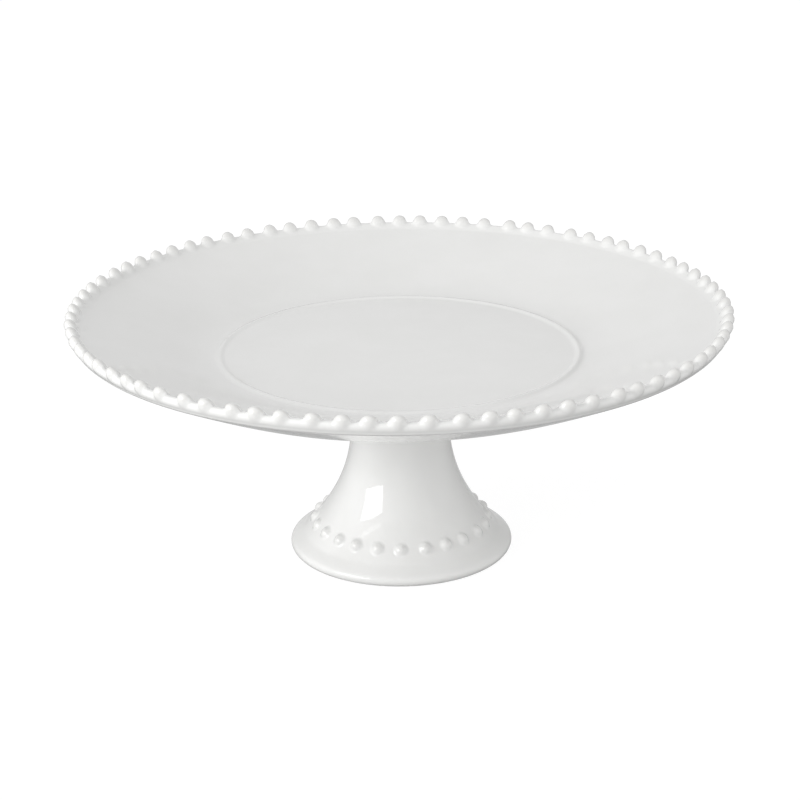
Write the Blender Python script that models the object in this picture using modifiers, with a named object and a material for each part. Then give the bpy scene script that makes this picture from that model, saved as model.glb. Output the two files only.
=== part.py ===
"""Footed cake stand in white glazed stoneware, modelled as the pieces it is made from.

A turned plate with a flat well, a beaded edging round its lip, a hollow trumpet-shaped
pedestal, the ring of slip that joins the two, and a belt of sprigged beads low on the foot.
Units are metres, +Z is up, and the origin is the middle of the foot's contact plane.
"""
import math
import random

import bmesh
import bpy
from mathutils import Matrix

# ---- Driving dimensions --------------------------------------------------------------------
JOIN_GAP = 0.0003            # clearance between touching clay pieces

# Plate
WELL_FLOOR_Z = 0.1060        # top of the flat well
PLATE_THICKNESS = 0.0085     # clay thickness at the middle
RIDGE_RADIUS = 0.0913        # fine raised ring round the well
RIDGE_HALF_WIDTH = 0.0022
RIDGE_HEIGHT = 0.00045
FLARE_SLOPE_LOW = 0.06       # rise per run just outside the ridge
FLARE_SLOPE_HIGH = 0.36      # rise per run near the lip
FLARE_BLEND = 0.011          # distance over which the slope builds up
UNDER_FLAT_RADIUS = 0.0950   # flat middle of the underside
UNDER_SLOPE = 0.49
UNDER_BLEND = 0.018
SEAM_RADIUS = 0.1575         # where the plate meets the beaded edging

# Beaded edging
LIP_CREST_RADIUS = 0.1632    # middle of the rounded lip between two beads
LIP_CREST_Z = 0.1266
LIP_ROUND_RADIUS = 0.0026
LIP_BAND_RADIUS = 0.1640     # plain band just under the lip
LIP_BAND_Z = 0.1229
LIP_TURN_RADIUS = 0.1622     # where the band turns under
LIP_TURN_Z = 0.1217
RIM_BEAD_COUNT = 80
RIM_BEAD_RADIUS = 0.0046
RIM_BEAD_RING_RADIUS = 0.1627
RIM_BEAD_Z = 0.1280
RIM_BEAD_DRIFT = math.radians(0.45)   # hand placing: most a bead is off its even place
RIM_BEAD_SEED = 11

# Pedestal
NECK_RADIUS = 0.0252
FLARE_SPREAD = 0.0346        # how far the trumpet opens at the floor
FLARE_TOP_Z = 0.072          # the trumpet is straight above this
FLARE_POWER = 2.37
FOOT_LIP_ROUND = 0.0030      # rounded edge of the foot
FOOT_LIP_RADIUS = 0.0548     # ring radius of that round's centre
FLARE_START_Z = 0.0085       # soft break between the rounded edge and the trumpet
WALL_THICKNESS = 0.0052
FOOT_RING_INNER_RADIUS = 0.0482       # inner edge of the flat contact ring
FOOT_RING_CHAMFER = 0.0008
SLIP_THICKNESS = 0.0012
NECK_FILLET = 0.006          # quarter-round where the neck spreads under the plate

# Foot beads
FOOT_BEAD_COUNT = 24
FOOT_BEAD_RADIUS = 0.0034
FOOT_BEAD_RISE = 0.0023
FOOT_BEAD_Z = 0.0153
FOOT_BEAD_STANDOFF = 0.00045          # gap behind each flat-backed sprig
FOOT_BEAD_DRIFT = math.radians(0.9)
FOOT_BEAD_SEED = 5

# Facets
PLATE_STEPS = 80             # faces round the plate and its edging
PEDESTAL_STEPS = 40
BEAD_SEGMENTS = 8            # faces round a bead
RIM_BEAD_RINGS = 4           # faces from pole to pole
FOOT_BEAD_RINGS = 6
FLARE_SHARES = (0.06, 0.14, 0.26, 0.45, 0.7, 1.0)     # points along the plate's rise
UNDER_SHARES = (0.0, 0.35, 0.6, 0.78, 0.9)            # points along its underside
LIP_ARC = (120.0, -45.0, 4)  # first angle, last angle, segments
NECK_ARC = (90.0, 180.0, 3)
FOOT_LIP_ARC = (56.0, -90.0, 5)
TRUMPET_POINTS = 10
HOLLOW_POINTS = 6

GLAZE_COLOUR = (0.87, 0.865, 0.845, 1.0)
GLAZE_ROUGHNESS = 0.12
CLAY_COLOUR = (0.80, 0.77, 0.71, 1.0)
CLAY_ROUGHNESS = 0.75
OBJECT_NAME = "cake_stand"

UNDERSIDE_Z = WELL_FLOOR_Z - PLATE_THICKNESS
SLIP_TOP_Z = UNDERSIDE_Z - JOIN_GAP
PEDESTAL_TOP_Z = SLIP_TOP_Z - SLIP_THICKNESS - JOIN_GAP


# ---- Scene helpers -------------------------------------------------------------------------
def clear_scene():
    """Remove every object, so that the file can be run again."""
    for item in list(bpy.data.objects):
        bpy.data.objects.remove(item, do_unlink=True)


def new_collection(name):
    """Make a collection and link it to the scene."""
    collection = bpy.data.collections.new(name)
    bpy.context.scene.collection.children.link(collection)
    return collection


def principled(name, colour, roughness):
    """Make a plain Principled material."""
    material = bpy.data.materials.new(name)
    material.use_nodes = True
    shader = material.node_tree.nodes["Principled BSDF"]
    shader.inputs["Base Color"].default_value = colour
    shader.inputs["Roughness"].default_value = roughness
    shader.inputs["Metallic"].default_value = 0.0
    return material


def add_object(name, mesh, collection, parent=None, material=None):
    """Put a mesh in the scene as a named object."""
    item = bpy.data.objects.new(name, mesh)
    collection.objects.link(item)
    item.parent = parent
    if material is not None:
        item.data.materials.append(material)
    return item


def turned(name, profile, steps, closed, collection, parent, material):
    """Turn a profile of (radius, height) points about Z with a Screw modifier."""
    points = [(radius, 0.0, height) for radius, height in profile]
    edges = [(index, index + 1) for index in range(len(points) - 1)]
    if closed:
        edges.append((len(points) - 1, 0))
    mesh = bpy.data.meshes.new(name)
    mesh.from_pydata(points, edges, [])
    item = add_object(name, mesh, collection, parent, material)
    screw = item.modifiers.new("Turn", "SCREW")
    screw.steps = steps
    screw.render_steps = steps
    screw.use_merge_vertices = True
    screw.merge_threshold = 0.00001
    screw.use_smooth_shade = True
    return item


def arc(centre_radius, centre_z, radius, start_degrees, end_degrees, segments):
    """Points on a circular arc in the profile plane, angles from +radius towards +Z."""
    points = []
    for index in range(segments + 1):
        angle = math.radians(start_degrees + (end_degrees - start_degrees) * index / segments)
        points.append((centre_radius + radius * math.cos(angle),
                       centre_z + radius * math.sin(angle)))
    return points


def spaced(start, end, count):
    """Evenly spaced values from start to end, both included."""
    return [start + (end - start) * index / (count - 1) for index in range(count)]


def drifted_angles(count, drift, seed):
    """Even angles round a circle, each off its place by a small seeded amount."""
    chooser = random.Random(seed)
    return [2.0 * math.pi * index / count + chooser.uniform(-drift, drift)
            for index in range(count)]


# ---- Curves of the turned pieces -----------------------------------------------------------
def settling_rise(run, low, high, blend):
    """Height gained over a run whose slope grows from low to high over the blend distance."""
    return high * run - (high - low) * blend * (1.0 - math.exp(-run / blend))


def plate_top_z(radius):
    """Height of the plate's upper surface outside the well's ridge."""
    run = radius - RIDGE_RADIUS - RIDGE_HALF_WIDTH
    return WELL_FLOOR_Z + settling_rise(run, FLARE_SLOPE_LOW, FLARE_SLOPE_HIGH, FLARE_BLEND)


def plate_under_z(radius):
    """Height of the plate's underside outside its flat middle."""
    run = radius - UNDER_FLAT_RADIUS
    return UNDERSIDE_Z + settling_rise(run, 0.0, UNDER_SLOPE, UNDER_BLEND)


def trumpet_radius(height):
    """Outer radius of the pedestal at a height above the foot's lip."""
    share = max(0.0, 1.0 - height / FLARE_TOP_Z)
    return NECK_RADIUS + FLARE_SPREAD * share ** FLARE_POWER


def trumpet_slope(height):
    """Change of the outer radius with height."""
    share = max(0.0, 1.0 - height / FLARE_TOP_Z)
    return -FLARE_SPREAD * FLARE_POWER / FLARE_TOP_Z * share ** (FLARE_POWER - 1.0)


def hollow_radius(height):
    """Inner radius of the pedestal, one wall's thickness in from the outside."""
    return trumpet_radius(height) - WALL_THICKNESS * math.hypot(1.0, trumpet_slope(height))


# ---- Pieces --------------------------------------------------------------------------------
def make_plate(collection, parent):
    """Plate: flat well, fine ridge, flare up to the seam, and the underside."""
    ridge_in = RIDGE_RADIUS - RIDGE_HALF_WIDTH
    ridge_out = RIDGE_RADIUS + RIDGE_HALF_WIDTH
    profile = [(0.0, WELL_FLOOR_Z), (ridge_in, WELL_FLOOR_Z),
               (RIDGE_RADIUS, WELL_FLOOR_Z + RIDGE_HEIGHT), (ridge_out, WELL_FLOOR_Z)]
    for share in FLARE_SHARES:
        radius = ridge_out + (SEAM_RADIUS - ridge_out) * share
        profile.append((radius, plate_top_z(radius)))
    for share in UNDER_SHARES:
        radius = SEAM_RADIUS + (UNDER_FLAT_RADIUS - SEAM_RADIUS) * share
        profile.append((radius, plate_under_z(radius)))
    profile += [(UNDER_FLAT_RADIUS, UNDERSIDE_Z), (0.0, UNDERSIDE_Z)]
    glaze = principled("plate_glaze", GLAZE_COLOUR, GLAZE_ROUGHNESS)
    return turned("plate", profile, PLATE_STEPS, False, collection, parent, glaze)


def bead_ring_mesh():
    """Balls on the lip's circle, kept apart, each with one point facing outwards."""
    shape = bmesh.new()
    out = Matrix.Translation((RIM_BEAD_RING_RADIUS, 0.0, RIM_BEAD_Z))
    for angle in drifted_angles(RIM_BEAD_COUNT, RIM_BEAD_DRIFT, RIM_BEAD_SEED):
        place = Matrix.Rotation(angle, 4, "Z") @ out
        bmesh.ops.create_uvsphere(shape, u_segments=BEAD_SEGMENTS, v_segments=RIM_BEAD_RINGS,
                                  radius=RIM_BEAD_RADIUS, matrix=place)
    mesh = bpy.data.meshes.new("rim_bead_balls")
    shape.to_mesh(mesh)
    shape.free()
    return mesh


def make_rim_beading(collection, cutters, parent):
    """Edging round the plate: a rounded lip with a row of beads grown out of it."""
    inner = SEAM_RADIUS + JOIN_GAP
    profile = [(inner, plate_top_z(inner))]
    profile += arc(LIP_CREST_RADIUS, LIP_CREST_Z, LIP_ROUND_RADIUS, *LIP_ARC)
    profile += [(LIP_BAND_RADIUS, LIP_BAND_Z), (LIP_TURN_RADIUS, LIP_TURN_Z),
                (inner, plate_under_z(inner))]
    glaze = principled("rim_glaze", GLAZE_COLOUR, GLAZE_ROUGHNESS)
    edging = turned("rim_beading", profile, PLATE_STEPS, True, collection, parent, glaze)
    balls = add_object("rim_bead_balls", bead_ring_mesh(), cutters)
    balls.hide_render = True
    balls.display_type = "WIRE"
    join = edging.modifiers.new("Beads", "BOOLEAN")
    join.operation = "UNION"
    join.solver = "EXACT"
    join.object = balls
    return edging


def make_pedestal(collection, parent):
    """Hollow trumpet: neck, flare, rounded edge, flat contact ring, open underneath."""
    fillet_z = PEDESTAL_TOP_Z - NECK_FILLET
    profile = [(NECK_RADIUS - WALL_THICKNESS, PEDESTAL_TOP_Z)]
    profile += arc(NECK_RADIUS + NECK_FILLET, fillet_z, NECK_FILLET, *NECK_ARC)
    for height in spaced(FLARE_TOP_Z, FLARE_START_Z, TRUMPET_POINTS):
        profile.append((trumpet_radius(height), height))
    profile += arc(FOOT_LIP_RADIUS, FOOT_LIP_ROUND, FOOT_LIP_ROUND, *FOOT_LIP_ARC)
    profile += [(FOOT_RING_INNER_RADIUS, 0.0),
                (FOOT_RING_INNER_RADIUS - FOOT_RING_CHAMFER, FOOT_RING_CHAMFER)]
    for height in spaced(FLARE_START_Z, FLARE_TOP_Z, HOLLOW_POINTS):
        profile.append((hollow_radius(height), height))
    glaze = principled("pedestal_glaze", GLAZE_COLOUR, GLAZE_ROUGHNESS)
    return turned("pedestal", profile, PEDESTAL_STEPS, True, collection, parent, glaze)


def make_luting_ring(collection, parent):
    """Ring of slip that joins the pedestal's top to the plate."""
    inner = NECK_RADIUS - WALL_THICKNESS
    outer = NECK_RADIUS + NECK_FILLET
    profile = [(inner, SLIP_TOP_Z), (outer + SLIP_THICKNESS, SLIP_TOP_Z),
               (outer, SLIP_TOP_Z - SLIP_THICKNESS), (inner, SLIP_TOP_Z - SLIP_THICKNESS)]
    clay = principled("slip_clay", CLAY_COLOUR, CLAY_ROUGHNESS)
    return turned("luting_ring", profile, PEDESTAL_STEPS, True, collection, parent, clay)


def foot_bead_mesh():
    """Flat-backed dome, its back on the local XY plane and its crown along +Z."""
    shape = bmesh.new()
    bmesh.ops.create_uvsphere(shape, u_segments=BEAD_SEGMENTS, v_segments=FOOT_BEAD_RINGS,
                              radius=FOOT_BEAD_RADIUS)
    for vertex in shape.verts:
        vertex.co.z *= FOOT_BEAD_RISE / FOOT_BEAD_RADIUS
    everything = shape.verts[:] + shape.edges[:] + shape.faces[:]
    bmesh.ops.bisect_plane(shape, geom=everything, plane_co=(0, 0, 0), plane_no=(0, 0, 1),
                           clear_inner=True)
    rim = [edge for edge in shape.edges if edge.is_boundary]
    bmesh.ops.edgeloop_fill(shape, edges=rim)
    bmesh.ops.recalc_face_normals(shape, faces=shape.faces[:])
    mesh = bpy.data.meshes.new("foot_bead")
    shape.to_mesh(mesh)
    shape.free()
    mesh.materials.append(principled("foot_bead_glaze", GLAZE_COLOUR, GLAZE_ROUGHNESS))
    return mesh


def make_foot_beads(collection, parent):
    """Belt of sprigged beads round the foot, each square to the trumpet's surface."""
    mesh = foot_bead_mesh()
    tilt = math.atan2(1.0, -trumpet_slope(FOOT_BEAD_Z))
    reach = trumpet_radius(FOOT_BEAD_Z) + FOOT_BEAD_STANDOFF * math.sin(tilt)
    height = FOOT_BEAD_Z + FOOT_BEAD_STANDOFF * math.cos(tilt)
    angles = drifted_angles(FOOT_BEAD_COUNT, FOOT_BEAD_DRIFT, FOOT_BEAD_SEED)
    for number, angle in enumerate(angles, start=1):
        bead = add_object(f"foot_bead_{number:02d}", mesh, collection, parent)
        bead.location = (reach * math.cos(angle), reach * math.sin(angle), height)
        bead.rotation_euler = (0.0, tilt, angle)


def main():
    """Build the whole stand."""
    clear_scene()
    collection = new_collection(OBJECT_NAME)
    cutters = new_collection("cutters")
    stand = bpy.data.objects.new(OBJECT_NAME, None)
    collection.objects.link(stand)
    make_plate(collection, stand)
    make_rim_beading(collection, cutters, stand)
    make_luting_ring(collection, stand)
    make_pedestal(collection, stand)
    make_foot_beads(collection, stand)


main()
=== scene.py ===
"""Looks for a footed cake stand in white glazed stoneware.

The heights of plate, lip and pedestal and the foot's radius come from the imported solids; the
other sizes are named here. Each clay piece gets its finished skin: soft fillets where beads grow
out of the clay, glaze that thins over the beads' crests, and a bare ring under the foot. Units
are metres, +Z is up.
"""
from __future__ import annotations

import logging
import math
import random
from collections.abc import Callable
from dataclasses import dataclass
from enum import Enum

import bpy
import numpy as np
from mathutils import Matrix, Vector

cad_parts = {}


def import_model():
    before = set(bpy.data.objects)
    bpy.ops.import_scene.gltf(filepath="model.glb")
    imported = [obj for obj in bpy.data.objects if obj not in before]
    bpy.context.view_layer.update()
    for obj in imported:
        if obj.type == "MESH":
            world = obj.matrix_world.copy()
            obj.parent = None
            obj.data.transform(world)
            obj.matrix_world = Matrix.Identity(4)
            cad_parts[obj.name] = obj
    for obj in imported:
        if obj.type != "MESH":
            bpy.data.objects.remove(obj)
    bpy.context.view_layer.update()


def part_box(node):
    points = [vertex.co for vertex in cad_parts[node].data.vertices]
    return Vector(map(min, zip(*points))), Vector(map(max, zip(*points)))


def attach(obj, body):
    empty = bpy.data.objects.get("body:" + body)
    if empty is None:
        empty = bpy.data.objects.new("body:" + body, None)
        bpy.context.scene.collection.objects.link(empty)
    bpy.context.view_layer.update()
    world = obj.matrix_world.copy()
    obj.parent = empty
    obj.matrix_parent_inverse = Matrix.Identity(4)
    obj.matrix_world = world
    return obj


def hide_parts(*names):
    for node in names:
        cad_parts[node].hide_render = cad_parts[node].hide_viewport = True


LOG = logging.getLogger("cake_stand")
Profile = list[tuple[float, float]]
RELIEF = "relief"            # attribute: how far a bead lifts the skin off the turned shape
BODY = "root"
MM = 0.001
SHARP_ANGLE = math.radians(50.0)
LEVEL = (1.0, 1.0, 0.0)      # keeps a vector's level part


# ---- Node graphs ---------------------------------------------------------------------------
class Graph:
    """A node tree with short calls for adding and linking its nodes."""

    def __init__(self, tree: bpy.types.NodeTree) -> None:
        """Wrap a tree.

        Args:
            tree: The node tree to add to.
        """
        self.tree = tree

    def add(self, kind: str, feeds: dict | None = None, **settings: object) -> bpy.types.Node:
        """Add a node.

        Args:
            kind: Blender's name for the node type.
            feeds: Input name or index to a value or an output socket.
            **settings: Properties set on the node before its inputs are fed.

        Returns:
            The new node.
        """
        node = self.tree.nodes.new(kind)
        for name, value in settings.items():
            setattr(node, name, value)
        for name, value in (feeds or {}).items():
            self.feed(node.inputs[name], value)
        return node

    def feed(self, socket: bpy.types.NodeSocket, value: object) -> None:
        """Link an output to a socket, or set the socket's own value.

        Args:
            socket: The input socket.
            value: An output socket or a plain value.
        """
        if isinstance(value, bpy.types.NodeSocket):
            self.tree.links.new(value, socket)
        else:
            socket.default_value = value

    def math(self, operation: str, *values: object) -> bpy.types.NodeSocket:
        """Add a Math node.

        Args:
            operation: Blender's name for the operation.
            *values: Up to three numbers or sockets.

        Returns:
            The result's socket.
        """
        feeds = dict(enumerate(values))
        return self.add("ShaderNodeMath", feeds, operation=operation).outputs[0]

    def vector(self, operation: str, *values: object) -> bpy.types.Node:
        """Add a Vector Math node.

        Args:
            operation: Blender's name for the operation.
            *values: Up to two vectors or sockets.

        Returns:
            The node, whose outputs are the vector and the number.
        """
        return self.add("ShaderNodeVectorMath", dict(enumerate(values)), operation=operation)

    def scaled(self, vector: object, factor: object) -> bpy.types.NodeSocket:
        """Multiply a vector by a number.

        Args:
            vector: A vector or its socket.
            factor: A number or its socket.

        Returns:
            The scaled vector's socket.
        """
        feeds = {0: vector, "Scale": factor}
        return self.add("ShaderNodeVectorMath", feeds, operation="SCALE").outputs[0]


class SwellTree:
    """Geometry Nodes that grow a row of beads out of a turned skin.

    Every point of the skin moves out along its own normal to the smooth union of the skin and
    the nearest bead, so that each bead stands in a soft fillet.
    """

    STEPS = 24                       # moves towards the smooth union
    BASE_PLACE = "base_place"        # attributes: where a point starts,
    BASE_FACING = "base_facing"      # its normal there,
    BEAD_PLACE = "bead_place"        # its nearest bead's middle,
    BEAD_SIZE = "bead_size"          # and that bead's radius

    INPUTS = (
        ("Bead Places", "NodeSocketObject", None),
        ("Ring Radius", "NodeSocketFloat", 0.1),
        ("Ring Height", "NodeSocketFloat", 0.1),
        ("Bead Radius", "NodeSocketFloat", 0.004),
        ("Flattening", "NodeSocketFloat", 1.0),
        ("Lean", "NodeSocketFloat", 0.0),
        ("Fillet", "NodeSocketFloat", 0.001),
        ("Size Drift", "NodeSocketFloat", 0.0),
        ("Seed", "NodeSocketInt", 0),
        ("Glaze", "NodeSocketMaterial", None),
    )

    def __init__(self) -> None:
        """Build the tree."""
        self.tree = bpy.data.node_groups.new("grow_beads", "GeometryNodeTree")
        self.sockets: dict[str, str] = {}
        face = self.tree.interface
        face.new_socket("Geometry", in_out="INPUT", socket_type="NodeSocketGeometry")
        for name, kind, default in self.INPUTS:
            socket = face.new_socket(name, in_out="INPUT", socket_type=kind)
            if default is not None:
                socket.default_value = default
            self.sockets[name] = socket.identifier
        face.new_socket("Geometry", in_out="OUTPUT", socket_type="NodeSocketGeometry")
        self.graph = Graph(self.tree)
        self.given = self.tree.nodes.new("NodeGroupInput").outputs
        self._build()

    def _build(self) -> None:
        """Lay out the whole tree."""
        graph = self.graph
        skin = self._remember(self.given["Geometry"])
        start = graph.add("GeometryNodeRepeatInput")
        end = graph.add("GeometryNodeRepeatOutput")
        start.pair_with_output(end)
        start.inputs["Iterations"].default_value = self.STEPS
        graph.feed(start.inputs["Geometry"], skin)
        facing = self._named(self.BASE_FACING, "FLOAT_VECTOR")
        lack = graph.math("MULTIPLY", self._union_distance(), -1.0)
        moved = graph.add("GeometryNodeSetPosition", {"Geometry": start.outputs["Geometry"],
                                                      "Offset": graph.scaled(facing, lack)})
        graph.feed(end.inputs["Geometry"], moved.outputs[0])
        noted = self._store(end.outputs["Geometry"], RELIEF, "FLOAT", self._lift())
        whole = graph.add("GeometryNodeRealizeInstances", {"Geometry": noted})
        glazed = graph.add("GeometryNodeSetMaterial", {"Geometry": whole.outputs[0],
                                                       "Material": self.given["Glaze"]})
        graph.feed(graph.add("NodeGroupOutput").inputs[0], glazed.outputs[0])

    def _named(self, name: str, kind: str) -> bpy.types.NodeSocket:
        """Read a stored attribute.

        Args:
            name: The attribute's name.
            kind: Its data type.

        Returns:
            The attribute's socket.
        """
        node = self.graph.add("GeometryNodeInputNamedAttribute", {"Name": name}, data_type=kind)
        return node.outputs[0]

    def _store(self, skin: bpy.types.NodeSocket, name: str, kind: str,
               value: bpy.types.NodeSocket) -> bpy.types.NodeSocket:
        """Store an attribute on the skin's points.

        Args:
            skin: The geometry.
            name: The attribute's name.
            kind: Its data type.
            value: What to store.

        Returns:
            The geometry that holds it.
        """
        feeds = {"Geometry": skin, "Name": name, "Value": value}
        node = self.graph.add("GeometryNodeStoreNamedAttribute", feeds, data_type=kind,
                              domain="POINT")
        return node.outputs[0]

    def _remember(self, skin: bpy.types.NodeSocket) -> bpy.types.NodeSocket:
        """Store each point's first place, its normal, and its nearest bead's place and size.

        Args:
            skin: The turned skin.

        Returns:
            The skin with those attributes.
        """
        graph, given = self.graph, self.given
        place = graph.add("GeometryNodeInputPosition").outputs[0]
        facing = graph.add("GeometryNodeInputNormal").outputs[0]
        level = graph.vector("MULTIPLY", place, LEVEL).outputs[0]
        outward = graph.vector("NORMALIZE", level).outputs[0]
        height = graph.add("ShaderNodeCombineXYZ", {"Z": given["Ring Height"]}).outputs[0]
        core = graph.vector("ADD", graph.scaled(outward, given["Ring Radius"]), height)
        beads = graph.add("GeometryNodeObjectInfo", {"Object": given["Bead Places"]})
        points = beads.outputs["Geometry"]
        nearest = graph.add("GeometryNodeSampleNearest",
                            {"Geometry": points, "Sample Position": core.outputs[0]})
        index = nearest.outputs[0]
        bead = graph.add("GeometryNodeSampleIndex", {"Geometry": points, "Index": index},
                         data_type="FLOAT_VECTOR")
        graph.feed(bead.inputs["Value"], graph.add("GeometryNodeInputPosition").outputs[0])
        smallest = graph.math("SUBTRACT", 1.0, given["Size Drift"])
        chance = graph.add("FunctionNodeRandomValue",
                           {2: smallest, 3: 1.0, "ID": index, "Seed": given["Seed"]},
                           data_type="FLOAT")
        size = graph.math("MULTIPLY", chance.outputs[1], given["Bead Radius"])
        skin = self._store(skin, self.BASE_PLACE, "FLOAT_VECTOR", place)
        skin = self._store(skin, self.BASE_FACING, "FLOAT_VECTOR", facing)
        skin = self._store(skin, self.BEAD_PLACE, "FLOAT_VECTOR", bead.outputs[0])
        return self._store(skin, self.BEAD_SIZE, "FLOAT", size)

    def _lift(self) -> bpy.types.NodeSocket:
        """Measure how far a point has moved out along its first normal.

        Returns:
            The distance's socket.
        """
        graph = self.graph
        now = graph.add("GeometryNodeInputPosition").outputs[0]
        moved = graph.vector("SUBTRACT", now, self._named(self.BASE_PLACE, "FLOAT_VECTOR"))
        facing = self._named(self.BASE_FACING, "FLOAT_VECTOR")
        return graph.vector("DOT_PRODUCT", moved.outputs[0], facing).outputs["Value"]

    def _bead_distance(self) -> bpy.types.NodeSocket:
        """Measure from a point to its bead, a ball flattened on the side its lean turns to.

        Returns:
            The distance's socket, below zero inside the bead.
        """
        graph, given = self.graph, self.given
        now = graph.add("GeometryNodeInputPosition").outputs[0]
        bead = self._named(self.BEAD_PLACE, "FLOAT_VECTOR")
        apart = graph.vector("SUBTRACT", now, bead).outputs[0]
        level = graph.vector("MULTIPLY", bead, LEVEL).outputs[0]
        outward = graph.vector("NORMALIZE", level).outputs[0]
        sine = graph.math("SINE", given["Lean"])
        cosine = graph.math("COSINE", given["Lean"])
        upright = graph.add("ShaderNodeCombineXYZ", {"Z": cosine}).outputs[0]
        inward = graph.scaled(graph.scaled(outward, sine), -1.0)
        axis = graph.vector("ADD", upright, inward).outputs[0]
        high = graph.vector("DOT_PRODUCT", apart, axis).outputs["Value"]
        flat = graph.math("MAXIMUM", high, 0.0)
        surplus = graph.math("SUBTRACT", given["Flattening"], 1.0)
        stretch = graph.scaled(axis, graph.math("MULTIPLY", flat, surplus))
        shaped = graph.vector("ADD", apart, stretch).outputs[0]
        steeper = graph.math("MULTIPLY", surplus, given["Flattening"])
        push = graph.scaled(axis, graph.math("MULTIPLY", flat, steeper))
        slope = graph.vector("ADD", shaped, push).outputs[0]
        size = self._named(self.BEAD_SIZE, "FLOAT")
        length = graph.vector("LENGTH", shaped).outputs["Value"]
        steepness = graph.vector("LENGTH", slope).outputs["Value"]
        excess = graph.math("SUBTRACT", length, size)
        return graph.math("DIVIDE", graph.math("MULTIPLY", excess, length), steepness)

    def _union_distance(self) -> bpy.types.NodeSocket:
        """Measure from a point to the smooth union of skin and bead.

        Returns:
            The distance's socket, below zero inside the union.
        """
        graph, fillet = self.graph, self.given["Fillet"]
        lift, bead = self._lift(), self._bead_distance()
        gap = graph.math("ABSOLUTE", graph.math("SUBTRACT", lift, bead))
        overlap = graph.math("MAXIMUM", graph.math("SUBTRACT", fillet, gap), 0.0)
        square = graph.math("MULTIPLY", overlap, overlap)
        sink = graph.math("DIVIDE", square, graph.math("MULTIPLY", fillet, 4.0))
        return graph.math("SUBTRACT", graph.math("MINIMUM", lift, bead), sink)

    def grown(self, piece: bpy.types.Object, values: dict[str, object]) -> bpy.types.Object:
        """Run the tree on a piece and keep the result as its plain mesh.

        Args:
            piece: A mesh object with a turned skin.
            values: Input name to value.

        Returns:
            The same object with its new mesh.
        """
        modifier = piece.modifiers.new("Beads", "NODES")
        modifier.node_group = self.tree
        for name, value in values.items():
            modifier[self.sockets[name]] = value
        bpy.context.view_layer.update()
        evaluated = piece.evaluated_get(bpy.context.evaluated_depsgraph_get())
        mesh = bpy.data.meshes.new_from_object(evaluated)
        piece.modifiers.remove(modifier)
        mesh.name = piece.name
        piece.data = mesh
        for name in (self.BASE_PLACE, self.BASE_FACING, self.BEAD_PLACE, self.BEAD_SIZE):
            mesh.attributes.remove(mesh.attributes[name])
        return piece


# ---- Finishes ------------------------------------------------------------------------------
@dataclass(frozen=True)
class Glaze:
    """Opaque glossy white glaze: warmer where it thins over a bead, with faint clouds."""

    name: str = "white_glaze"
    full: tuple[float, float, float] = (0.86, 0.86, 0.85)
    thin: tuple[float, float, float] = (0.79, 0.785, 0.77)
    cloudy: tuple[float, float, float] = (0.80, 0.802, 0.785)
    body_roughness: float = 0.42
    body_shine: float = 0.25
    gloss_roughness: float = 0.035
    index: float = 1.5                # refractive index of the glass
    thinning: tuple[float, float] = (1.04 * MM, 2.6 * MM)     # relief where it starts and ends
    cloud_scale: float = 38.0
    cloud_detail: float = 4.0
    cloud_roughness: float = 0.55
    cloud_range: tuple[float, float] = (0.35, 0.7)
    cloud_strength: float = 0.35
    skin_scale: float = 190.0
    skin_detail: float = 2.0
    skin_depth: float = 0.012 * MM

    def material(self) -> bpy.types.Material:
        """Build the glaze.

        Returns:
            The material.
        """
        material = bpy.data.materials.new(self.name)
        material.use_nodes = True
        graph = Graph(material.node_tree)
        shader = material.node_tree.nodes["Principled BSDF"]
        place = graph.add("ShaderNodeTexCoord").outputs["Object"]
        graph.feed(shader.inputs["Base Color"], self._colour(graph, place))
        graph.feed(shader.inputs["Normal"], self._skin(graph, place))
        for socket, value in (("Roughness", self.body_roughness), ("IOR", self.index),
                              ("Specular IOR Level", self.body_shine), ("Coat Weight", 1.0),
                              ("Coat Roughness", self.gloss_roughness),
                              ("Coat IOR", self.index)):
            shader.inputs[socket].default_value = value
        return material

    def _colour(self, graph: Graph, place: bpy.types.NodeSocket) -> bpy.types.NodeSocket:
        """Mix the glaze's three whites.

        Args:
            graph: The material's graph.
            place: Object coordinates.

        Returns:
            The colour's socket.
        """
        relief = graph.add("ShaderNodeAttribute", attribute_name=RELIEF).outputs["Fac"]
        start, end = self.thinning
        thin = graph.add("ShaderNodeMapRange", {"Value": relief, "From Min": start,
                                                "From Max": end},
                         interpolation_type="SMOOTHSTEP").outputs[0]
        cloud = graph.add("ShaderNodeTexNoise", {"Vector": place, "Scale": self.cloud_scale,
                                                 "Detail": self.cloud_detail,
                                                 "Roughness": self.cloud_roughness})
        low, high = self.cloud_range
        drift = graph.add("ShaderNodeMapRange", {"Value": cloud.outputs["Fac"],
                                                 "From Min": low, "From Max": high,
                                                 "To Max": self.cloud_strength}).outputs[0]
        crest = graph.add("ShaderNodeMix", {"Factor": thin, "A": (*self.full, 1.0),
                                            "B": (*self.thin, 1.0)}, data_type="RGBA")
        mixed = graph.add("ShaderNodeMix", {"Factor": drift, "A": crest.outputs["Result"],
                                            "B": (*self.cloudy, 1.0)}, data_type="RGBA")
        return mixed.outputs["Result"]

    def _skin(self, graph: Graph, place: bpy.types.NodeSocket) -> bpy.types.NodeSocket:
        """Give the faint unevenness of a fired glaze.

        Args:
            graph: The material's graph.
            place: Object coordinates.

        Returns:
            The bumped normal's socket.
        """
        fine = graph.add("ShaderNodeTexNoise", {"Vector": place, "Scale": self.skin_scale,
                                                "Detail": self.skin_detail}).outputs["Fac"]
        bump = graph.add("ShaderNodeBump", {"Height": fine, "Strength": 1.0,
                                            "Distance": self.skin_depth})
        return bump.outputs["Normal"]


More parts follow.
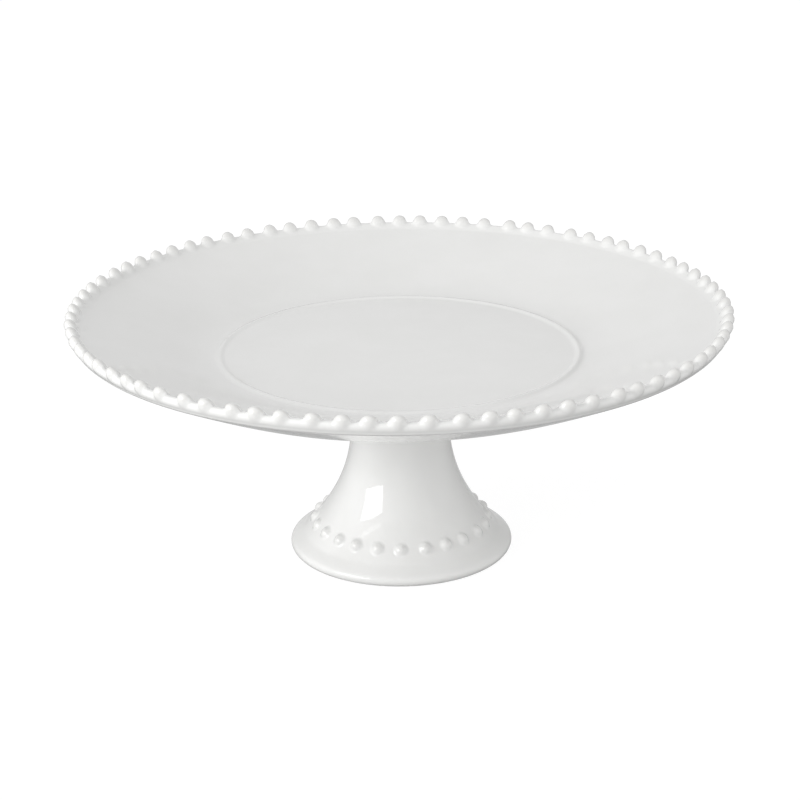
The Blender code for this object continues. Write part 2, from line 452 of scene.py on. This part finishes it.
@dataclass(frozen=True)
class BareClay:
    """Unglazed stoneware: matt, warm, with fine sandy grain."""

    name: str = "bare_clay"
    light: tuple[float, float, float] = (0.74, 0.70, 0.62)
    dark: tuple[float, float, float] = (0.60, 0.55, 0.47)
    roughness: float = 0.85
    grain_scale: float = 900.0
    grain_detail: float = 5.0
    grain_roughness: float = 0.7
    grain_depth: float = 0.05 * MM

    def material(self) -> bpy.types.Material:
        """Build the clay.

        Returns:
            The material.
        """
        material = bpy.data.materials.new(self.name)
        material.use_nodes = True
        graph = Graph(material.node_tree)
        shader = material.node_tree.nodes["Principled BSDF"]
        place = graph.add("ShaderNodeTexCoord").outputs["Object"]
        grain = graph.add("ShaderNodeTexNoise", {"Vector": place, "Scale": self.grain_scale,
                                                 "Detail": self.grain_detail,
                                                 "Roughness": self.grain_roughness})
        grain = grain.outputs["Fac"]
        colour = graph.add("ShaderNodeMix", {"Factor": grain, "A": (*self.light, 1.0),
                                             "B": (*self.dark, 1.0)}, data_type="RGBA")
        bump = graph.add("ShaderNodeBump", {"Height": grain, "Distance": self.grain_depth})
        graph.feed(shader.inputs["Base Color"], colour.outputs["Result"])
        graph.feed(shader.inputs["Normal"], bump.outputs["Normal"])
        shader.inputs["Roughness"].default_value = self.roughness
        return material


# ---- Turned shapes -------------------------------------------------------------------------
class Ends(Enum):
    """How a turned profile ends."""

    POLES = "poles"          # both ends lie on the axis
    LOOP = "loop"            # the profile is a closed section


def arc(centre: tuple[float, float], radius: float, start: float, end: float,
        facet: float) -> Profile:
    """Points on an arc in the profile plane.

    Args:
        centre: The arc's centre as (radius, height).
        radius: The arc's own radius.
        start: First angle in degrees, from +radius towards +Z.
        end: Last angle in degrees.
        facet: Longest step between points.

    Returns:
        The points, both ends included.
    """
    sweep = math.radians(end - start)
    steps = max(2, math.ceil(abs(sweep) * radius / facet))
    angles = [math.radians(start) + sweep * step / steps for step in range(steps + 1)]
    return [(centre[0] + radius * math.cos(turn), centre[1] + radius * math.sin(turn))
            for turn in angles]


def follow(rule: Callable[[float], tuple[float, float]], start: float, end: float,
           steps: int, ease: float = 1.0) -> Profile:
    """Points along a rule.

    Args:
        rule: Gives a point for a number.
        start: First number.
        end: Last number.
        steps: How many steps.
        ease: Above 1, the steps are shorter near the start.

    Returns:
        The points, both ends included.
    """
    shares = [(step / steps) ** ease for step in range(steps + 1)]
    return [rule(start + (end - start) * share) for share in shares]


def softened(points: Profile, rounds: int, keep: int = 1) -> Profile:
    """Smooth a stretch of profile by averaging neighbours.

    Args:
        points: The stretch.
        rounds: How many times to average.
        keep: How many points at each end stay put.

    Returns:
        The smoothed stretch.
    """
    line = np.array(points)
    for _ in range(rounds):
        middle = (line[:-2] + 2.0 * line[1:-1] + line[2:]) / 4.0
        line[keep:len(line) - keep] = middle[keep - 1:len(middle) - keep + 1]
    return [tuple(point) for point in line.tolist()]


def resampled(points: Profile, facet: float) -> Profile:
    """Space a polyline's points evenly.

    Args:
        points: The polyline.
        facet: Longest step between the new points.

    Returns:
        The evenly spaced points, both ends included.
    """
    line = np.array(points)
    reach = np.concatenate([[0.0], np.cumsum(np.hypot(*np.diff(line, axis=0).T))])
    places = np.linspace(0.0, reach[-1], math.ceil(reach[-1] / facet) + 1)
    return list(zip(np.interp(places, reach, line[:, 0]).tolist(),
                    np.interp(places, reach, line[:, 1]).tolist()))


def turned(name: str, profile: Profile, columns: int, ends: Ends) -> bpy.types.Object:
    """Turn a profile about Z into a closed, outward-facing mesh object.

    Args:
        name: The object's name.
        profile: Points from the top, down the outer side, and back in underneath.
        columns: Faces round the turn.
        ends: Whether the profile ends on the axis or joins up.

    Returns:
        The object, linked to the scene.
    """
    rows = profile[1:-1] if ends is Ends.POLES else profile
    turns = np.linspace(0.0, 2.0 * math.pi, columns, endpoint=False)
    radii, heights = np.array(rows).T
    points = np.empty((len(rows), columns, 3))
    points[:, :, 0] = np.outer(radii, np.cos(turns))
    points[:, :, 1] = np.outer(radii, np.sin(turns))
    points[:, :, 2] = heights[:, None]
    index = np.arange(len(rows) * columns).reshape(len(rows), columns)
    if ends is Ends.LOOP:
        index = np.vstack([index, index[:1]])
    after = np.roll(index, -1, axis=1)
    quads = np.stack([index[:-1], index[1:], after[1:], after[:-1]], axis=-1).reshape(-1, 4)
    places, faces = points.reshape(-1, 3).tolist(), quads.tolist()
    if ends is Ends.POLES:
        top, bottom = len(places), len(places) + 1
        places += [(0.0, 0.0, profile[0][1]), (0.0, 0.0, profile[-1][1])]
        faces += [(top, a, b) for a, b in zip(index[0].tolist(), after[0].tolist())]
        faces += [(bottom, b, a) for a, b in zip(index[-1].tolist(), after[-1].tolist())]
    mesh = bpy.data.meshes.new(name)
    mesh.from_pydata(places, [], faces)
    mesh.shade_smooth()
    mesh.set_sharp_from_angle(angle=SHARP_ANGLE)
    piece = bpy.data.objects.new(name, mesh)
    bpy.context.scene.collection.objects.link(piece)
    return piece


def bead_places(count: int, drift: float, seed: int, radius: float,
                height: float) -> bpy.types.Object:
    """Points where beads sit, evenly round a circle with a small seeded drift.

    Args:
        count: How many beads.
        drift: The most a bead is off its even place, in radians.
        seed: Seed of the drift, the same as in the solids.
        radius: Radius of the circle.
        height: Height of the circle.

    Returns:
        A hidden mesh object with one vertex for each bead.
    """
    chooser = random.Random(seed)
    turns = [2.0 * math.pi * index / count + chooser.uniform(-drift, drift)
             for index in range(count)]
    mesh = bpy.data.meshes.new("bead_places")
    mesh.from_pydata([(radius * math.cos(turn), radius * math.sin(turn), height)
                      for turn in turns], [], [])
    places = bpy.data.objects.new("bead_places", mesh)
    bpy.context.scene.collection.objects.link(places)
    return places


def settling_rise(run: float, low: float, high: float, blend: float) -> float:
    """Height gained over a run whose slope grows from low to high.

    Args:
        run: Horizontal distance.
        low: First slope.
        high: Last slope.
        blend: Distance over which the slope builds up.

    Returns:
        The height gained.
    """
    return high * run - (high - low) * blend * (1.0 - math.exp(-run / blend))


def dress(piece: bpy.types.Object, slot: str, *nodes: str) -> bpy.types.Object:
    """Set a finished piece in the frame.

    Args:
        piece: The piece.
        slot: Not used.
        *nodes: The solids that it stands for.

    Returns:
        The piece.
    """
    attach(piece, BODY)
    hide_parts(*nodes)
    LOG.info("%s: %d vertices, stands for %d solids", piece.name,
             len(piece.data.vertices), len(nodes))
    return piece


# ---- Sub-assemblies ------------------------------------------------------------------------
@dataclass
class PlateShape:
    """The plate's curves, which the plate and its edging share."""

    under_z: float                        # flat middle of the underside
    floor_z: float = 106.0 * MM           # flat well
    ridge_radius: float = 90.9 * MM
    ridge_width: float = 1.6 * MM         # spread of the fine ridge
    ridge_height: float = 0.75 * MM
    flare_start: float = 93.5 * MM
    flare_slope: tuple[float, float] = (0.06, 0.36)
    flare_blend: float = 11.0 * MM
    under_start: float = 97.0 * MM
    under_slope: float = 0.51
    under_blend: float = 18.0 * MM
    seam_radius: float = 150.0 * MM       # where the plate's skin hands over to the edging's
    columns: int = 1280

    def top(self, radius: float) -> tuple[float, float]:
        """Find a point of the upper skin.

        Args:
            radius: How far out it is.

        Returns:
            The point as (radius, height).
        """
        run = max(0.0, radius - self.flare_start)
        rise = settling_rise(run, *self.flare_slope, self.flare_blend)
        offset = (radius - self.ridge_radius) / self.ridge_width
        return radius, self.floor_z + rise + self.ridge_height * math.exp(-offset * offset)

    def under(self, radius: float) -> tuple[float, float]:
        """Find a point of the underside.

        Args:
            radius: How far out it is.

        Returns:
            The point as (radius, height).
        """
        run = max(0.0, radius - self.under_start)
        return radius, self.under_z + settling_rise(run, 0.0, self.under_slope,
                                                    self.under_blend)


@dataclass
class Plate:
    """Flat well, fine ridge and flared side, with the underside."""

    shape: PlateShape
    ridge_zone: float = 6.0 * MM          # finer rows this far each side of the ridge
    well_rows: int = 6
    ridge_rows: int = 22
    flare_rows: int = 16
    under_rows: int = 18
    middle_rows: int = 5

    def build(self, glaze: bpy.types.Material) -> bpy.types.Object:
        """Make the plate's skin inside the seam.

        Args:
            glaze: The glaze.

        Returns:
            The piece.
        """
        shape = self.shape
        inner = shape.ridge_radius - self.ridge_zone
        outer = shape.ridge_radius + self.ridge_zone
        profile = follow(shape.top, 0.0, inner, self.well_rows)
        profile += follow(shape.top, inner, outer, self.ridge_rows)[1:]
        profile += follow(shape.top, outer, shape.seam_radius, self.flare_rows)[1:]
        profile += follow(shape.under, shape.seam_radius, shape.under_start, self.under_rows)
        profile += follow(shape.under, shape.under_start, 0.0, self.middle_rows)[1:]
        piece = turned("plate_skin", profile, shape.columns, Ends.POLES)
        piece.data.materials.append(glaze)
        return dress(piece, "white_glaze", "plate")


@dataclass
class BeadedEdging:
    """Rounded lip with the beads grown out of it."""

    shape: PlateShape
    top_z: float                          # over the beads
    join_radius: float = 158.6 * MM       # where the lip rises off the plate's upper skin
    lip_centre: tuple[float, float] = (163.6 * MM, 126.7 * MM)
    lip_radius: float = 2.1 * MM
    lip_turn: tuple[float, float] = (108.0, 0.0)       # degrees, over the top to the outside
    undercut: tuple[tuple[float, float], ...] = ((165.4 * MM, 125.6 * MM),
                                                 (164.6 * MM, 124.4 * MM))
    crease: tuple[float, float] = (163.9 * MM, 123.8 * MM)
    band: tuple[float, float] = (163.9 * MM, 123.2 * MM)
    under_radius: float = 162.2 * MM      # where the underside's curve takes over
    soft_radius: float = 156.0 * MM       # inner end of the softened stretch
    softening: int = 4
    ring_radius: float = 163.4 * MM       # circle of the beads' middles
    bead_radius: float = 3.8 * MM
    flattening: float = 1.9               # times as flat on the side that faces in and up
    lean: float = math.radians(50.0)      # how far that side turns from up to inward
    clearance: float = 0.1 * MM           # left below the solids' top
    fillet: float = 1.2 * MM
    bead_count: int = 80
    drift: float = math.radians(0.45)
    seed: int = 11
    size_drift: float = 0.05
    size_seed: int = 3
    facet: float = 0.55 * MM
    top_rows: int = 12
    under_rows: int = 8
    seam_rows: int = 6

    def profile(self) -> Profile:
        """Draw the lip's section from the seam out, under and back.

        Returns:
            The closed section.
        """
        shape = self.shape
        top = follow(shape.top, shape.seam_radius, self.join_radius, self.top_rows)
        lip = top[-2:] + arc(self.lip_centre, self.lip_radius, *self.lip_turn, self.facet)
        lip += [*self.undercut, self.crease, self.band]
        lip += follow(shape.under, self.under_radius, self.soft_radius, self.under_rows)
        lip = softened(resampled(lip, self.facet / 2.0), self.softening)
        under = follow(shape.under, self.soft_radius, shape.seam_radius, self.seam_rows)
        return top[:-2] + resampled(lip, self.facet) + under[1:]

    def build(self, swell: SwellTree, glaze: bpy.types.Material) -> bpy.types.Object:
        """Make the edging's skin.

        Args:
            swell: The tree that grows beads.
            glaze: The glaze.

        Returns:
            The piece.
        """
        crest = self.bead_radius * math.hypot(math.sin(self.lean),
                                              math.cos(self.lean) / self.flattening)
        ring_height = self.top_z - crest - self.clearance
        piece = turned("beaded_rim", self.profile(), self.shape.columns, Ends.LOOP)
        places = bead_places(self.bead_count, self.drift, self.seed, self.ring_radius,
                             ring_height)
        swell.grown(piece, {"Bead Places": places, "Ring Radius": self.ring_radius,
                            "Ring Height": ring_height, "Bead Radius": self.bead_radius,
                            "Flattening": self.flattening, "Lean": self.lean,
                            "Fillet": self.fillet, "Size Drift": self.size_drift,
                            "Seed": self.size_seed, "Glaze": glaze})
        bpy.data.objects.remove(places)
        return dress(piece, "white_glaze", "rim_beading")


@dataclass
class Pedestal:
    """Hollow trumpet foot with its belt of beads and bare contact ring."""

    top_z: float
    foot_radius: float
    neck_radius: float = 25.2 * MM
    spread: float = 34.6 * MM
    flare_top: float = 72.0 * MM
    flare_power: float = 2.37
    hollow_start: float = 8.5 * MM        # height at which the hollow's wall starts
    belt_top: float = 27.0 * MM           # finer rows below this height, for the beads
    edge_start: float = 13.0 * MM         # height at which the edge starts to spread
    edge_steps: tuple[tuple[float, float], ...] = ((7.0 * MM, 9.0 * MM),
                                                   (3.6 * MM, 6.9 * MM))   # (inset, height)
    edge_round: float = 3.0 * MM
    edge_turn: tuple[float, float] = (56.0, -90.0)     # degrees, from the side to underneath
    softening: int = 20
    wall: float = 5.2 * MM
    ring_inner: float = 48.2 * MM         # inner radius of the contact ring
    ring_rows: tuple[float, float] = (0.6 * MM, 3.0 * MM)    # the flat's inner rows, from there
    ring_round: float = 1.4 * MM
    ring_turn: tuple[float, float] = (-90.0, -170.0)   # degrees, from underneath to inside
    wiped_height: float = 0.35 * MM       # bare of glaze below this
    neck_fillet: float = 6.0 * MM
    bead_count: int = 24
    bead_radius: float = 3.4 * MM
    bead_rise: float = 2.1 * MM
    bead_z: float = 15.3 * MM
    bead_fillet: float = 1.3 * MM
    drift: float = math.radians(0.9)
    seed: int = 5
    size_drift: float = 0.05
    size_seed: int = 8
    columns: int = 720
    neck_facet: float = 1.0 * MM
    edge_facet: float = 0.4 * MM
    soft_facet: float = 0.3 * MM
    trumpet_rows: int = 24
    belt_rows: int = 42
    hollow_rows: int = 30

    def radius(self, height: float) -> float:
        """Outer radius at a height."""
        share = max(0.0, 1.0 - height / self.flare_top)
        return self.neck_radius + self.spread * share ** self.flare_power

    def slope(self, height: float) -> float:
        """Change of the outer radius with height."""
        share = max(0.0, 1.0 - height / self.flare_top)
        return -self.spread * self.flare_power / self.flare_top * share ** (self.flare_power - 1)

    def outer(self, height: float) -> tuple[float, float]:
        """Point of the outside at a height."""
        return self.radius(height), height

    def inner(self, height: float) -> tuple[float, float]:
        """Point of the hollow's wall at a height."""
        return self.radius(height) - self.wall * math.hypot(1.0, self.slope(height)), height

    def profile(self) -> Profile:
        """Draw neck, trumpet, rounded edge, contact ring and hollow.

        Returns:
            The closed section.
        """
        fillet_centre = (self.neck_radius + self.neck_fillet, self.top_z - self.neck_fillet)
        neck = arc(fillet_centre, self.neck_fillet, 90.0, 180.0, self.neck_facet)
        neck += follow(self.outer, self.flare_top, self.belt_top, self.trumpet_rows)
        belt = follow(self.outer, self.belt_top, self.edge_start, self.belt_rows)
        edge = belt[-3:]
        edge += [(self.foot_radius - inset, height) for inset, height in self.edge_steps]
        edge_centre = (self.foot_radius - self.edge_round, self.edge_round)
        edge += arc(edge_centre, self.edge_round, *self.edge_turn, self.edge_facet)
        edge = softened(resampled(edge, self.soft_facet), self.softening)
        flat_end, flat_start = (self.ring_inner + run for run in self.ring_rows)
        base = [(flat_start, 0.0), (flat_end, 0.0)]
        ring_centre = (flat_end, self.ring_round)
        base += arc(ring_centre, self.ring_round, *self.ring_turn, self.edge_facet)
        hollow = follow(self.inner, self.hollow_start, self.flare_top, self.hollow_rows)
        hollow.append((self.neck_radius - self.wall, self.top_z))
        return neck + belt[1:-3] + resampled(edge, self.edge_facet) + base + hollow

    def build(self, swell: SwellTree, glaze: bpy.types.Material,
              clay: bpy.types.Material) -> bpy.types.Object:
        """Make the pedestal's skin with its beads and bare ring.

        Args:
            swell: The tree that grows beads.
            glaze: The glaze.
            clay: Bare clay for the contact ring.

        Returns:
            The piece.
        """
        sunk = self.bead_radius - self.bead_rise
        steep = math.hypot(1.0, self.slope(self.bead_z))
        ring_radius = self.radius(self.bead_z) - sunk / steep
        ring_height = self.bead_z + sunk * self.slope(self.bead_z) / steep
        piece = turned("pedestal_skin", self.profile(), self.columns, Ends.LOOP)
        places = bead_places(self.bead_count, self.drift, self.seed, ring_radius, ring_height)
        swell.grown(piece, {"Bead Places": places, "Ring Radius": ring_radius,
                            "Ring Height": ring_height, "Bead Radius": self.bead_radius,
                            "Flattening": 1.0, "Lean": 0.0, "Fillet": self.bead_fillet,
                            "Size Drift": self.size_drift, "Seed": self.size_seed,
                            "Glaze": glaze})
        bpy.data.objects.remove(places)
        self._bare_ring(piece, clay)
        beads = [f"foot_bead_{number:02d}" for number in range(1, self.bead_count + 1)]
        return dress(piece, "white_glaze", "pedestal", *beads)

    def _bare_ring(self, piece: bpy.types.Object, clay: bpy.types.Material) -> None:
        """Wipe the glaze off the contact ring.

        Args:
            piece: The pedestal's skin.
            clay: Bare clay.
        """
        piece.data.materials.append(clay)
        for face in piece.data.polygons:
            if face.center.z < self.wiped_height:
                face.material_index = 1


@dataclass
class NeckJoint:
    """Ring of slip under the plate, glazed over as a small fillet."""

    low_z: float
    high_z: float
    inner_radius: float
    neck_radius: float
    columns: int = 360
    facet: float = 0.3 * MM

    def build(self, glaze: bpy.types.Material) -> bpy.types.Object:
        """Make the joint.

        Args:
            glaze: The glaze.

        Returns:
            The piece.
        """
        spread = self.high_z - self.low_z
        fillet = arc((self.neck_radius + spread, self.low_z), spread, 90.0, 180.0, self.facet)
        profile = fillet + [(self.inner_radius, self.low_z), (self.inner_radius, self.high_z)]
        piece = turned("neck_joint", profile, self.columns, Ends.LOOP)
        piece.data.materials.append(glaze)
        return dress(piece, "white_glaze", "luting_ring")


@dataclass(frozen=True)
class Panel:
    """A part of the room's walls and how brightly it glows."""

    towards: tuple[float, float, float]
    glow: float


@dataclass
class Studio:
    """Plain pale floor, soft light from the front left, and the camera."""

    distance: float = 0.991
    height: float = 0.4416
    pitch: float = math.radians(20.09)
    roll: float = math.radians(-0.6)
    lens: float = 92.7
    sensor: float = 36.0
    key_direction: tuple[float, float, float] = (-0.724, -0.574, 0.382)
    key_distance: float = 1.5
    key_size: tuple[float, float] = (0.84, 0.50)
    key_radiance: float = 6.9
    panels: tuple[Panel, ...] = (
        Panel((-1.0, 0.0, 0.0), 0.75), Panel((1.0, 0.0, 0.0), 0.89),
        Panel((0.0, -1.0, 0.0), 0.33), Panel((0.0, 1.0, 0.0), 0.70),
        Panel((1.0, -1.0, 0.0), 0.36), Panel((0.0, -1.0, 1.0), 0.71),
        Panel((-1.0, 0.0, 1.0), 0.94), Panel((1.0, 0.0, 1.0), 0.60),
        Panel((0.0, 1.0, 1.0), 0.22))
    panel_focus: float = 4.0              # above 1, a panel's light gathers round its middle
    floor_radius: float = 6.0
    floor_depth: tuple[float, float] = (0.1 * MM, 5.0 * MM)
    floor_columns: int = 96
    floor_albedo: float = 0.78            # as the stand sees it
    sweep_albedo: float = 0.10            # as the eye sees it, with the glow below
    sweep_glow: float = 0.94

    def build(self) -> None:
        """Set the stage."""
        self._camera()
        self._key()
        self._surroundings()
        self._floor()

    def _camera(self) -> None:
        """Put the camera in front, looking down at the stand."""
        camera = bpy.data.objects.new("camera", bpy.data.cameras.new("camera"))
        camera.data.lens = self.lens
        camera.data.sensor_width = self.sensor
        camera.location = (0.0, -self.distance, self.height)
        camera.rotation_mode = "ZXY"
        camera.rotation_euler = (math.pi / 2.0 - self.pitch, 0.0, self.roll)
        bpy.context.scene.collection.objects.link(camera)
        bpy.context.scene.camera = camera

    def _key(self) -> None:
        """Hang a window-shaped softbox at the front left."""
        light = bpy.data.lights.new("softbox", "AREA")
        light.shape = "RECTANGLE"
        light.size, light.size_y = self.key_size
        light.energy = self.key_radiance * math.pi * light.size * light.size_y
        box = bpy.data.objects.new("softbox", light)
        towards = Vector(self.key_direction).normalized()
        box.location = towards * self.key_distance
        box.rotation_euler = (-towards).to_track_quat("-Z", "Y").to_euler()
        box.visible_camera = False
        bpy.context.scene.collection.objects.link(box)

    def _surroundings(self) -> None:
        """Give the eye a white sweep, and the stand a dimmer room of uneven sides."""
        world = bpy.data.worlds.new("room")
        bpy.context.scene.world = world
        world.use_nodes = True
        graph = Graph(world.node_tree)
        world.node_tree.nodes.clear()
        towards = graph.add("ShaderNodeTexCoord").outputs["Generated"]
        glow: object = 0.0
        for panel in self.panels:
            side = tuple(Vector(panel.towards).normalized())
            facing = graph.vector("DOT_PRODUCT", towards, side).outputs["Value"]
            facing = graph.math("MAXIMUM", facing, 0.0)
            share = graph.math("POWER", facing, self.panel_focus)
            glow = graph.math("MULTIPLY_ADD", share, panel.glow, glow)
        seen = graph.add("ShaderNodeLightPath").outputs["Is Camera Ray"]
        room = graph.add("ShaderNodeBackground", {"Strength": glow})
        room.inputs["Color"].default_value = (1.0, 1.0, 1.0, 1.0)
        sweep = graph.add("ShaderNodeBackground", {"Color": (1.0, 1.0, 1.0, 1.0)})
        mixed = graph.add("ShaderNodeMixShader", {0: seen, 1: room.outputs[0],
                                                  2: sweep.outputs[0]})
        graph.add("ShaderNodeOutputWorld", {"Surface": mixed.outputs[0]})

    def _floor(self) -> None:
        """Lay a pale floor that glows a little, so that shadows on it stay soft."""
        high, low = (-depth for depth in self.floor_depth)
        profile: Profile = [(0.0, high), (self.floor_radius, high),
                            (self.floor_radius, low), (0.0, low)]
        floor = turned("floor", profile, self.floor_columns, Ends.POLES)
        material = bpy.data.materials.new("pale_floor")
        material.use_nodes = True
        graph = Graph(material.node_tree)
        graph.tree.nodes.clear()
        paint = graph.add("ShaderNodeBsdfDiffuse", {"Color": (*[self.floor_albedo] * 3, 1.0)})
        faint = graph.add("ShaderNodeBsdfDiffuse", {"Color": (*[self.sweep_albedo] * 3, 1.0)})
        white = graph.add("ShaderNodeEmission", {"Strength": self.sweep_glow})
        sweep = graph.add("ShaderNodeAddShader", {0: faint.outputs[0], 1: white.outputs[0]})
        seen = graph.add("ShaderNodeLightPath").outputs["Is Camera Ray"]
        mixed = graph.add("ShaderNodeMixShader", {0: seen, 1: paint.outputs[0],
                                                  2: sweep.outputs[0]})
        graph.add("ShaderNodeOutputMaterial", {"Surface": mixed.outputs[0]})
        floor.data.materials.append(material)
        floor.visible_glossy = False


def main() -> None:
    """Build every sub-assembly and the studio, sized from the imported solids."""
    logging.basicConfig(level=logging.INFO, format="%(name)s: %(message)s")
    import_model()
    plate_low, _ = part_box("plate")
    _, rim_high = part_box("rim_beading")
    _, pedestal_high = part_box("pedestal")
    glaze, clay = Glaze().material(), BareClay().material()
    swell = SwellTree()
    shape = PlateShape(under_z=plate_low.z)
    Plate(shape).build(glaze)
    BeadedEdging(shape, top_z=rim_high.z).build(swell, glaze)
    foot = Pedestal(top_z=pedestal_high.z, foot_radius=pedestal_high.x)
    foot.build(swell, glaze, clay)
    NeckJoint(pedestal_high.z, plate_low.z, foot.neck_radius - foot.wall,
              foot.neck_radius + foot.neck_fillet).build(glaze)
    Studio().build()
    bpy.context.scene.view_settings.view_transform = "Standard"


if __name__ == "__main__":
    main()
